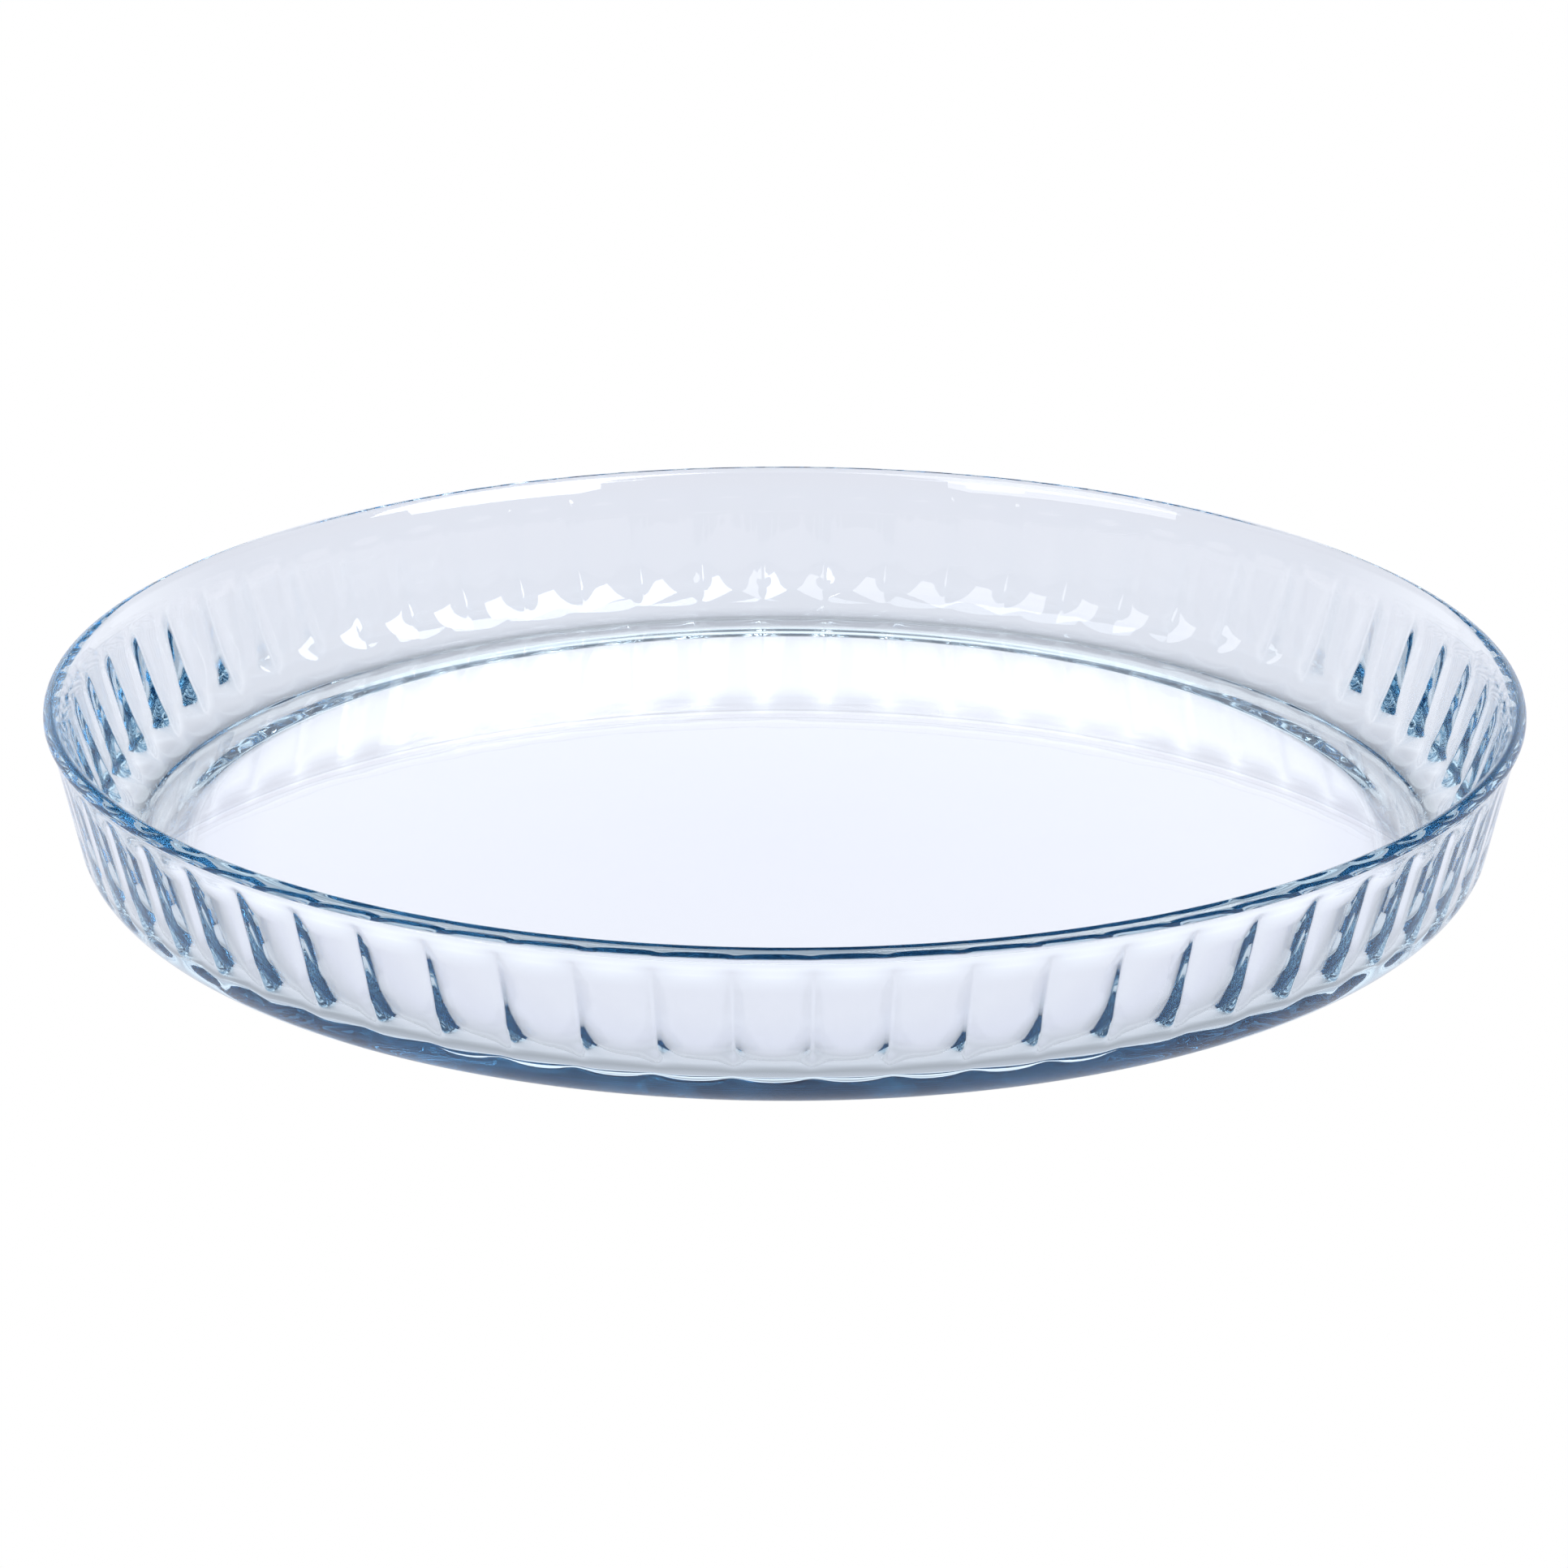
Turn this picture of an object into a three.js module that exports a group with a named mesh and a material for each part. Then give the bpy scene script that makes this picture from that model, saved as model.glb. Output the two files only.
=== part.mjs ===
// A round fluted flan dish, pressed in one piece of clear glass.
// Millimetres, +Z up, the origin at the middle of the plane that the dish stands on.
import * as THREE from "three";

const { mapLinear, smoothstep } = THREE.MathUtils;

// Overall size
const rimRadius = 155;
const dishHeight = 36.4;

// Flutes: lobes that meet in sharp grooves outside and in ridges inside, deepest near the heel
const fluteCount = 62;
const stepsPerFlute = 4;
const grooveDepth = 0.8;
const grooveDepthAtTop = 0.25;
const groovePower = 2;
const grooveFade = 9;
const ridgeHeight = 2.2;
const ridgeHeightAtTop = 0.75;
const ridgePower = 3;
const ridgeFade = 5;
const fluteTop = 31.8;
const fluteRunOut = 1.5;

// Underside: a flat stand ring round a shallow recess
const recessDepth = 0.8;
const recessRadius = 131;
const recessSlope = 5.5;

// Outer wall: straight and flared, with one large rounding from the stand ring up to the wall
const heelCornerRadius = 146.7;
const heelRounding = 8.5;
const grooveHeight = 14;
const wallTopRadius = 153.4;
const bandRadius = 153.8;

// Rim: a fine edge all round outside, and a rounded top
const edgeHeight = 34;
const edgeRise = 0.4;
const crestRadius = 153.3;
const rimInnerRadius = 152;
const rimInnerHeight = 35.2;

// Inner wall, inner heel and base
const baseTop = 5.1;
const innerCornerRadius = 141.6;
const innerRounding = 8.2;
const innerWallTopRadius = 150.1;
const innerBandRadius = 150.6;

// The half section runs from the axis along the underside, up outside, over the rim,
// down inside and back to the axis: x is the radius and y the height.
const section = [];

function lineTo(radius, height) {
  section.push(new THREE.Vector2(radius, height));
}

// A bend leaves the last point towards the corner and arrives at the end from the corner.
function bendTo(cornerRadius, cornerHeight, radius, height, steps) {
  const curve = new THREE.QuadraticBezierCurve(
    section.at(-1),
    new THREE.Vector2(cornerRadius, cornerHeight),
    new THREE.Vector2(radius, height),
  );
  section.push(...curve.getPoints(steps).slice(1));
}

// A rounded corner starts and ends at the same distance from the corner, close to a circle's arc.
function roundTo(corner, rounding, next, steps) {
  const before = section.at(-1).clone().sub(corner).setLength(rounding).add(corner);
  const after = next.clone().sub(corner).setLength(rounding).add(corner);
  const turn = Math.PI - before.clone().sub(corner).angleTo(after.clone().sub(corner));
  const pull = ((4 / 3) * Math.tan(turn / 4)) / Math.tan(turn / 2);
  const curve = new THREE.CubicBezierCurve(
    before,
    before.clone().lerp(corner, pull),
    after.clone().lerp(corner, pull),
    after,
  );
  section.push(...curve.getPoints(steps));
}

const wallTop = new THREE.Vector2(wallTopRadius, fluteTop - fluteRunOut);
const heelCorner = new THREE.Vector2(heelCornerRadius, 0);
const innerCorner = new THREE.Vector2(innerCornerRadius, baseTop);

// Underside, heel and outer wall
lineTo(0, recessDepth);
lineTo(recessRadius - recessSlope, recessDepth);
lineTo(recessRadius, 0);
roundTo(heelCorner, heelRounding, wallTop, 4);
lineTo(mapLinear(grooveHeight, 0, wallTop.y, heelCornerRadius, wallTopRadius), grooveHeight);
lineTo(wallTop.x, wallTop.y);
lineTo(bandRadius, fluteTop);

// Rim
lineTo(rimRadius - edgeRise, edgeHeight - edgeRise);
lineTo(rimRadius, edgeHeight);
bendTo(rimRadius, dishHeight, crestRadius, dishHeight, 2);
const crestIndex = section.length - 1;
bendTo(rimInnerRadius + 0.5, dishHeight, rimInnerRadius, rimInnerHeight, 2);

// Inner wall, inner heel and base
lineTo(innerBandRadius, fluteTop);
lineTo(innerWallTopRadius, fluteTop - fluteRunOut);
roundTo(innerCorner, innerRounding, new THREE.Vector2(0, baseTop), 4);
lineTo(0, baseTop);

// How deep the flutes are at a section point: nothing on the stand ring, the rim and the base.
function fluteReach(point, isOutside) {
  const fall = smoothstep(fluteTop - point.y, 0, fluteRunOut);
  const upTheWall = smoothstep(point.y, grooveHeight, fluteTop);
  if (isOutside) {
    const rise = smoothstep(point.y - baseTop, 0, grooveFade);
    return -rise * fall * mapLinear(upTheWall, 0, 1, grooveDepth, grooveDepthAtTop);
  }
  const rise = smoothstep(point.y - baseTop, 0, ridgeFade);
  return rise * fall * mapLinear(upTheWall, 0, 1, ridgeHeight, ridgeHeightAtTop);
}

// The direction that points out of the glass, square to the section
function outwardNormal(index) {
  const before = section[index - 1];
  const after = section[index + 1];
  return new THREE.Vector2(after.y - before.y, before.x - after.x).normalize();
}

// The section lies on the lobes' crests, and each point's shift takes it into the groove
// outside, or out to the ridge inside.
const shifts = section.map((point, index) => {
  if (point.x === 0) return new THREE.Vector2(0, 0);
  return outwardNormal(index).multiplyScalar(fluteReach(point, index < crestIndex));
});

function flutedDish() {
  const turns = fluteCount * stepsPerFlute;
  const geometry = new THREE.LatheGeometry(section, turns);
  const position = geometry.getAttribute("position");
  for (let turn = 0; turn <= turns; turn++) {
    const angle = (turn / turns) * 2 * Math.PI;
    const across = Math.abs(((turn / stepsPerFlute) % 1) * 2 - 1); // 0 on a crest, 1 in a groove
    section.forEach((crest, index) => {
      const power = index < crestIndex ? groovePower : ridgePower;
      const point = crest.clone().addScaledVector(shifts[index], across ** power);
      const vertex = turn * section.length + index;
      position.setXYZ(vertex, point.x * Math.sin(angle), point.y, point.x * Math.cos(angle));
    });
  }
  geometry.rotateX(Math.PI / 2);
  geometry.computeVertexNormals();
  return geometry;
}

const clearGlass = new THREE.MeshStandardMaterial({
  color: 0xdfe9f4,
  roughness: 0.04,
  metalness: 0,
  transparent: true,
  opacity: 0.35,
});

const dish = new THREE.Mesh(flutedDish(), clearGlass);
dish.name = "glass_dish";

const bakingDish = new THREE.Group();
bakingDish.add(dish);

export default bakingDish;
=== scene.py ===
import math

import bmesh
import bpy
from mathutils import Matrix, Vector


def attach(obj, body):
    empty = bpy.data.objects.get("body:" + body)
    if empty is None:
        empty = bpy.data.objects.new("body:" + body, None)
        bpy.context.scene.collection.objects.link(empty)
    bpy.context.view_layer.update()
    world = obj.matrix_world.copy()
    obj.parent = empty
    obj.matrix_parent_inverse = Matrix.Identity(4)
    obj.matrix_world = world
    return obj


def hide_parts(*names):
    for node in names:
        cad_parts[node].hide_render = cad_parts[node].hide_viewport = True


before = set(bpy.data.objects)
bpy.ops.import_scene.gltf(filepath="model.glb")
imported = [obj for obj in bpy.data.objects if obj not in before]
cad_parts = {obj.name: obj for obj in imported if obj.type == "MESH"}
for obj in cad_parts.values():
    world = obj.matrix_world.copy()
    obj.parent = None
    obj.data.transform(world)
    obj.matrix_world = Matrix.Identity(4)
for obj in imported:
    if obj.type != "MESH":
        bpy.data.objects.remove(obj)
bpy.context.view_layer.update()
mm = 0.001
scene = bpy.context.scene


def facing(place, aim):
    # the turn that points a camera or a lamp at its aim
    return (Vector(aim) - Vector(place)).to_track_quat("-Z", "Y")


def mapRange(nodes, links, source, span, result=(0, 1)):
    # turns one range of values into another
    node = nodes.new("ShaderNodeMapRange")
    node.inputs["From Min"].default_value, node.inputs["From Max"].default_value = span
    node.inputs["To Min"].default_value, node.inputs["To Max"].default_value = result
    links.new(source, node.inputs["Value"])
    return node.outputs["Result"]


print("camera")
view = {
    "sensor": 36,  # mm, as the lens, the place and the aim
    "lens": 132.87,
    "place": (-41.7, -1150.3, 433.0),
    "aim": (-0.14, 0.01, 12.86),
    "roll": 0.11,  # degrees
    "nearest": 0.05,  # m
}


def addCamera(shot):
    cameraData = bpy.data.cameras.new("camera")
    cameraData.sensor_width = shot["sensor"]
    cameraData.lens = shot["lens"]
    cameraData.clip_start = shot["nearest"]
    camera = bpy.data.objects.new("camera", cameraData)
    scene.collection.objects.link(camera)
    turn = facing(shot["place"], shot["aim"]).to_matrix()
    turn = turn @ Matrix.Rotation(math.radians(shot["roll"]), 3, "Z")
    camera.matrix_world = Matrix.LocRotScale(Vector(shot["place"]) * mm, turn, None)
    scene.camera = camera


addCamera(view)


print("glass material")
glassLook = {
    "tint": (0.985, 0.99, 1.0),
    "refraction": 1.5,
    "bodyColor": (0.1, 0.5, 0.7),  # what is left after a long way through the glass
    "bodyDensity": 10,
    "roughness": (0.0, 0.012),  # least and most
    "smearScale": 26,
    "smearDetail": 4,
    "smearRange": (0.35, 0.75),  # noise values with the least and the most roughness
    "waveScale": 55,
    "waveDetail": 1,
    "waveHeight": 0.01,  # mm
}


def noise(nodes, links, place, scale, detail):
    node = nodes.new("ShaderNodeTexNoise")
    node.inputs["Scale"].default_value = scale
    node.inputs["Detail"].default_value = detail
    links.new(place.outputs["Object"], node.inputs["Vector"])
    return node.outputs["Fac"]


def glassMaterial(look):
    material = bpy.data.materials.new("clearGlass")
    material.use_nodes = True
    nodes = material.node_tree.nodes
    links = material.node_tree.links
    glass = nodes["Principled BSDF"]
    glass.inputs["Base Color"].default_value = (*look["tint"], 1)
    glass.inputs["Transmission Weight"].default_value = 1
    glass.inputs["IOR"].default_value = look["refraction"]
    place = nodes.new("ShaderNodeTexCoord")
    # faint smears in the polish
    smear = noise(nodes, links, place, look["smearScale"], look["smearDetail"])
    spread = mapRange(nodes, links, smear, look["smearRange"], look["roughness"])
    links.new(spread, glass.inputs["Roughness"])
    # slow waves of a pressed surface
    wave = noise(nodes, links, place, look["waveScale"], look["waveDetail"])
    bump = nodes.new("ShaderNodeBump")
    bump.inputs["Distance"].default_value = look["waveHeight"] * mm
    links.new(wave, bump.inputs["Height"])
    links.new(bump.outputs["Normal"], glass.inputs["Normal"])
    body = nodes.new("ShaderNodeVolumeAbsorption")
    body.inputs["Color"].default_value = (*look["bodyColor"], 1)
    body.inputs["Density"].default_value = look["bodyDensity"]
    links.new(body.outputs["Volume"], nodes["Material Output"].inputs["Volume"])
    return material


print("dish")
# millimetres; a list of pairs gives heights on the dish with the value there
dish = {
    "fluteCount": 62,
    "stepsPerFlute": 12,
    "crowding": 0.6,  # how much the steps crowd towards the grooves
    "grooveDepth": [(6, 0.3), (12, 0.3), (20, 0.18), (31.5, 0.1)],
    "groovePower": 2,
    "grooveSoftness": 0.03,
    "grooveFoot": 6,  # the height where the grooves begin
    "grooveFootFade": 5,
    "ridgeHeight": [(6, 1.65), (12, 1.65), (16, 1.1), (28.8, 0.8)],
    "ridgePower": [(6, 2), (12, 2.1), (16, 2.8)],  # rounder pockets at the heel
    "ridgeSoftness": 0.04,
    "ridgeFoot": 6,
    "ridgeFootFade": 5.6,
    "fluteTop": 31.8,  # the height where grooves and ridges end
    "fluteTopFade": 3,
    "plainRadius": 100,  # the base has no flutes up to here
    "flatEdge": 0.35,  # the short stretch beside each rounding that keeps a flat one flat
    "splitFrom": 1.4,  # a stretch has to be longer than this to get flat edges
    "weld": 0.002,  # points closer than this become one
    "corners": [
        # the half section, once round from the axis:
        # radius, height, rounding, its steps, rows up to the next corner
        (0, 0.8, 0, 0, 0),
        (125.5, 0.8, 1.2, 4, 0),
        (131, 0, 1.2, 4, 0),
        (146.7, 0, 8.5, 24, 6),
        (153.4, 30.3, 0, 0, 4),
        (153.8, 31.8, 0.4, 2, 0),
        (154.6, 33.6, 0.12, 2, 0),
        (155, 34, 0.15, 3, 0),
        (155, 36.4, 1.85, 8, 0),
        (152.1, 36.4, 1.4, 8, 0),
        (149.9, 31.8, 1.6, 4, 5),
        (149.6, 28.8, 0, 0, 6),
        (141.6, 5.1, 8.2, 18, 0),
        (0, 5.1, 0, 0, 0),
    ],
}


def softEnds(across, softness, power):
    # 0 on a lobe's middle, 1 in the groove, with a rounded tip
    inward = math.hypot(1 - abs(across), softness) - softness
    return (1 - inward / (math.hypot(1, softness) - softness)) ** power


def smooth(value, span):
    share = min(max(value / span, 0), 1)
    return share * share * (3 - 2 * share)


def valueAt(stops, height):
    # straight lines between the stops
    for (low, first), (high, second) in zip(stops, stops[1:]):
        if height <= high:
            return first + (second - first) * max(height - low, 0) / (high - low)
    return stops[-1][1]


def edgeMiddle(edge):
    return (edge.verts[0].co + edge.verts[1].co) / 2


def drawSection(bm, sizes):
    points = []
    for radius, height, *rest in sizes["corners"]:
        points.append(bm.verts.new((radius * mm, 0, height * mm)))
    stretches = []
    for first, second, (*corner, rows) in zip(points, points[1:], sizes["corners"]):
        stretches.append((edgeMiddle(bm.edges.new((first, second))), rows))
    for point, (radius, height, rounding, steps, rows) in zip(points, sizes["corners"]):
        if rounding:
            bmesh.ops.bevel(bm, geom=[point], offset=rounding * mm, offset_type="OFFSET",
                            profile_type="SUPERELLIPSE", segments=steps, profile=0.5,
                            affect="VERTICES", material=-1)
    # rows of points where flutes bend the wall, flat edges on the plain stretches
    keep = sizes["flatEdge"] * mm
    for middle, rows in stretches:
        edge = min(bm.edges, key=lambda edge: (edgeMiddle(edge) - middle).length)
        length = edge.calc_length()
        if rows:
            bmesh.ops.subdivide_edges(bm, edges=[edge], cuts=rows)
        elif length > sizes["splitFrom"] * mm:
            first, second = edge.verts
            part, vert = bmesh.utils.edge_split(edge, first, keep / length)
            far = part if second in part.verts else edge
            bmesh.utils.edge_split(far, second, keep / (length - keep))


def fluteReach(sizes, height, across, isOutside):
    # into the glass, and so below 0, in a groove; out of it on a ridge
    fall = min(max((sizes["fluteTop"] - height) / sizes["fluteTopFade"], 0), 1)
    if isOutside:
        rise = smooth(height - sizes["grooveFoot"], sizes["grooveFootFade"])
        reach = -valueAt(sizes["grooveDepth"], height)
        reach *= softEnds(across, sizes["grooveSoftness"], sizes["groovePower"])
    else:
        rise = smooth(height - sizes["ridgeFoot"], sizes["ridgeFootFade"])
        reach = valueAt(sizes["ridgeHeight"], height)
        reach *= softEnds(across, sizes["ridgeSoftness"], valueAt(sizes["ridgePower"], height))
    return reach * rise * fall


def pressFlute(bm, sizes, pitch):
    # each point moves square to the plain section, and then towards the nearer groove
    for vert in bm.verts:
        if vert.co.xy.length < sizes["plainRadius"] * mm:
            continue
        angle = math.atan2(vert.co.y, vert.co.x)
        radial = Vector((math.cos(angle), math.sin(angle), 0))
        outward = vert.normal.dot(radial)
        normal = (radial * outward + Vector((0, 0, vert.normal.z))).normalized()
        part = (angle + math.pi / 2) / pitch
        crowded = part - sizes["crowding"] * math.sin(2 * math.pi * part) / (2 * math.pi)
        reach = fluteReach(sizes, vert.co.z / mm, 2 * crowded - 1, outward > 0)
        vert.co += normal * (reach * mm)
        vert.co = Matrix.Rotation((crowded - part) * pitch, 3, "Z") @ vert.co


def makeDish(sizes):
    bm = bmesh.new()
    drawSection(bm, sizes)
    toFront = Matrix.Rotation(-math.pi / 2, 3, "Z")  # a groove lies in the plane of -Y
    bmesh.ops.rotate(bm, verts=bm.verts[:], cent=(0, 0, 0), matrix=toFront)
    # one flute's share of the turn is pressed, and then goes round
    pitch = 2 * math.pi / sizes["fluteCount"]
    bmesh.ops.spin(bm, geom=bm.verts[:] + bm.edges[:], cent=(0, 0, 0), axis=(0, 0, 1),
                   dvec=(0, 0, 0), angle=pitch, steps=sizes["stepsPerFlute"],
                   use_merge=False, use_duplicate=False)
    bmesh.ops.recalc_face_normals(bm, faces=bm.faces[:])
    bm.normal_update()
    pressFlute(bm, sizes, pitch)
    bmesh.ops.spin(bm, geom=bm.verts[:] + bm.edges[:] + bm.faces[:], cent=(0, 0, 0),
                   axis=(0, 0, 1), dvec=(0, 0, 0), angle=2 * math.pi - pitch,
                   steps=sizes["fluteCount"] - 1, use_merge=False, use_duplicate=True)
    bmesh.ops.remove_doubles(bm, verts=bm.verts[:], dist=sizes["weld"] * mm)
    bmesh.ops.recalc_face_normals(bm, faces=bm.faces[:])
    for face in bm.faces:
        face.smooth = True
    mesh = bpy.data.meshes.new("glassDish")
    bm.to_mesh(mesh)
    bm.free()
    made = bpy.data.objects.new("glassDish", mesh)
    scene.collection.objects.link(made)
    return made


glassDish = makeDish(dish)
glassDish.data.materials.append(glassMaterial(glassLook))
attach(glassDish, "root")
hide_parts("glass_dish")
print("dish faces", len(glassDish.data.polygons))


print("floor")
floorLook = {
    "size": 14,  # m, as the reach and the radii of the painted light and shade
    "drop": 0.05,  # mm below the dish
    "reach": 0.4,  # radius at which the last tone is reached
    "glow": 1.25,
    "paintedLightAndShade": [
        # radius, tone: painted light below the base and painted shadow below the foot, in
        # place of the light through the glass and the foot's shade
        (0.0, (0.825, 0.82, 0.895)),
        (0.09, (0.845, 0.84, 0.905)),
        (0.11, (0.845, 0.84, 0.905)),
        (0.122, (0.79, 0.79, 0.875)),
        (0.1304, (0.58, 0.59, 0.64)),
        (0.136, (0.456, 0.472, 0.52)),
        (0.1395, (0.352, 0.368, 0.4)),
        (0.1434, (0.576, 0.592, 0.648)),
        (0.15, (0.695, 0.705, 0.76)),
        (0.4, (0.69, 0.7, 0.76)),
    ],
}


def floorMaterial(look):
    material = bpy.data.materials.new("floor")
    material.use_nodes = True
    nodes = material.node_tree.nodes
    links = material.node_tree.links
    nodes.remove(nodes["Principled BSDF"])
    place = nodes.new("ShaderNodeTexCoord")
    radius = nodes.new("ShaderNodeVectorMath")
    radius.operation = "LENGTH"
    share = nodes.new("ShaderNodeMath")
    share.operation = "DIVIDE"
    share.inputs[1].default_value = look["reach"]
    # a ramp of painted light and shadow by distance from the middle
    paintedLightAndShade = nodes.new("ShaderNodeValToRGB")
    for step in range(len(look["paintedLightAndShade"]) - 2):  # a ramp starts with two stops
        paintedLightAndShade.color_ramp.elements.new(0.5)
    for stop, (distance, tone) in zip(paintedLightAndShade.color_ramp.elements, look["paintedLightAndShade"]):
        stop.position = distance / look["reach"]
        stop.color = (*tone, 1)
    # the floor glows with this painted light and shadow and takes no light from the lamps
    glow = nodes.new("ShaderNodeEmission")
    glow.inputs["Strength"].default_value = look["glow"]
    white = nodes.new("ShaderNodeEmission")  # seen directly, the floor is plain white
    path = nodes.new("ShaderNodeLightPath")
    choice = nodes.new("ShaderNodeMixShader")
    links.new(place.outputs["Object"], radius.inputs[0])
    links.new(radius.outputs["Value"], share.inputs[0])
    links.new(share.outputs["Value"], paintedLightAndShade.inputs["Fac"])
    links.new(paintedLightAndShade.outputs["Color"], glow.inputs["Color"])
    links.new(path.outputs["Is Camera Ray"], choice.inputs["Fac"])
    links.new(glow.outputs["Emission"], choice.inputs[1])
    links.new(white.outputs["Emission"], choice.inputs[2])
    links.new(choice.outputs["Shader"], nodes["Material Output"].inputs["Surface"])
    return material


def makeFloor(look):
    bm = bmesh.new()
    bmesh.ops.create_grid(bm, x_segments=1, y_segments=1, size=look["size"] / 2)
    mesh = bpy.data.meshes.new("floor")
    bm.to_mesh(mesh)
    bm.free()
    mesh.transform(Matrix.Translation((0, 0, -look["drop"] * mm)))
    mesh.materials.append(floorMaterial(look))
    made = bpy.data.objects.new("floor", mesh)
    scene.collection.objects.link(made)
    return made


floor = makeFloor(floorLook)


print("room")
# a pair is how far up, or back, a direction points where something begins and where it is full
roomLook = {
    "walls": (0.05, 0.15, 0.26),
    "ceiling": (0.014, 0.048, 0.105),
    "ceilingUp": (0.15, 0.45),
    "backdrop": (1.2, 1.26, 1.32),
    "backdropBack": (0.22, 0.6),
    "backdropUp": (0.46, 0.26),
}


def makeRoom(look):
    world = bpy.data.worlds.new("studio")
    world.use_nodes = True
    scene.world = world
    nodes = world.node_tree.nodes
    links = world.node_tree.links
    heading = nodes.new("ShaderNodeTexCoord")
    split = nodes.new("ShaderNodeSeparateXYZ")
    links.new(heading.outputs["Generated"], split.inputs["Vector"])
    back, up = split.outputs["Y"], split.outputs["Z"]
    room = nodes.new("ShaderNodeMix")
    room.data_type = "RGBA"
    room.inputs["A"].default_value = (*look["walls"], 1)
    room.inputs["B"].default_value = (*look["ceiling"], 1)
    links.new(mapRange(nodes, links, up, look["ceilingUp"]), room.inputs["Factor"])
    both = nodes.new("ShaderNodeMath")
    both.operation = "MULTIPLY"
    links.new(mapRange(nodes, links, back, look["backdropBack"]), both.inputs[0])
    links.new(mapRange(nodes, links, up, look["backdropUp"]), both.inputs[1])
    blend = nodes.new("ShaderNodeMix")
    blend.data_type = "RGBA"
    blend.inputs["B"].default_value = (*look["backdrop"], 1)
    links.new(both.outputs["Value"], blend.inputs["Factor"])
    links.new(room.outputs["Result"], blend.inputs["A"])
    links.new(blend.outputs["Result"], nodes["Background"].inputs["Color"])


makeRoom(roomLook)


print("lamps")
lampLook = {
    "aim": (0, 0, 0),  # m, as the size and the places
    "size": (0.9, 0.95),
    "lamps": [
        # place, brightness
        ((-0.7, -0.46, 1.02), 3.2),
        ((0.7, -0.46, 1.02), 6.5),
    ],
    "bounces": 160,  # light goes round inside the glass many times
}


def addLamp(place, brightness, look):
    width, height = look["size"]
    lampData = bpy.data.lights.new("softbox", "AREA")
    lampData.shape = "RECTANGLE"
    lampData.size = width
    lampData.size_y = height
    lampData.energy = brightness * math.pi * width * height
    lamp = bpy.data.objects.new("softbox", lampData)
    lamp.matrix_world = Matrix.LocRotScale(Vector(place), facing(place, look["aim"]), None)
    scene.collection.objects.link(lamp)


for place, brightness in lampLook["lamps"]:
    addLamp(place, brightness, lampLook)
scene.view_settings.view_transform = "Standard"
scene.cycles.max_bounces = lampLook["bounces"]
scene.cycles.transmission_bounces = lampLook["bounces"]
scene.cycles.glossy_bounces = lampLook["bounces"]
